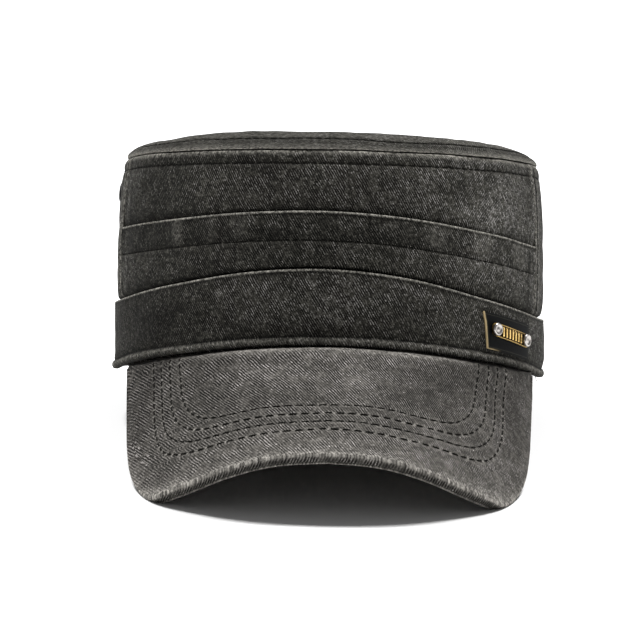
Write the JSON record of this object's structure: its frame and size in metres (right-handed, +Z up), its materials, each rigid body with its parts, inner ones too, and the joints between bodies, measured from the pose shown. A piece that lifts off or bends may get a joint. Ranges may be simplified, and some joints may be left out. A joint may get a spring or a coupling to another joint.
{
  "type": "denim cap",
  "caption": "Flat-topped denim cap with a wrap-round headband, a tucked front panel, a curved brim, a small badge and side vent eyelets, open below for the head.",
  "frame": {"origin": "centre of the bounding box in plan, on the surface that the cap rests on", "axes": "+Z up from the surface, the brim and the front towards -Y, +X to the right of someone who faces the front of the cap"},
  "size_m": [0.1802, 0.2668, 0.1308],
  "materials": {
    "crown_denim": "washed black cotton twill, matt, worn light along its folded edges",
    "brim_denim": "washed grey cotton twill over a stiff core, matt, worn light along its edge",
    "patch_leather": "black leather-like patch with a tan cut edge",
    "plate_gilt": "gilt metal plate with a blackened field",
    "rivet_nickel": "bright nickel, domed",
    "eyelet_black": "blackened metal, satin"
  },
  "bodies": {
    "root": {"crown_top": "crown_denim", "front_panel": "crown_denim", "side_panel_left": "crown_denim", "side_panel_right": "crown_denim", "headband": "crown_denim", "brim": "brim_denim", "badge_patch": "patch_leather", "badge_plate": "plate_gilt", "rivet_left": "rivet_nickel", "rivet_right": "rivet_nickel", "eyelet_left": "eyelet_black", "eyelet_right": "eyelet_black"}
  },
  "joints": []
}
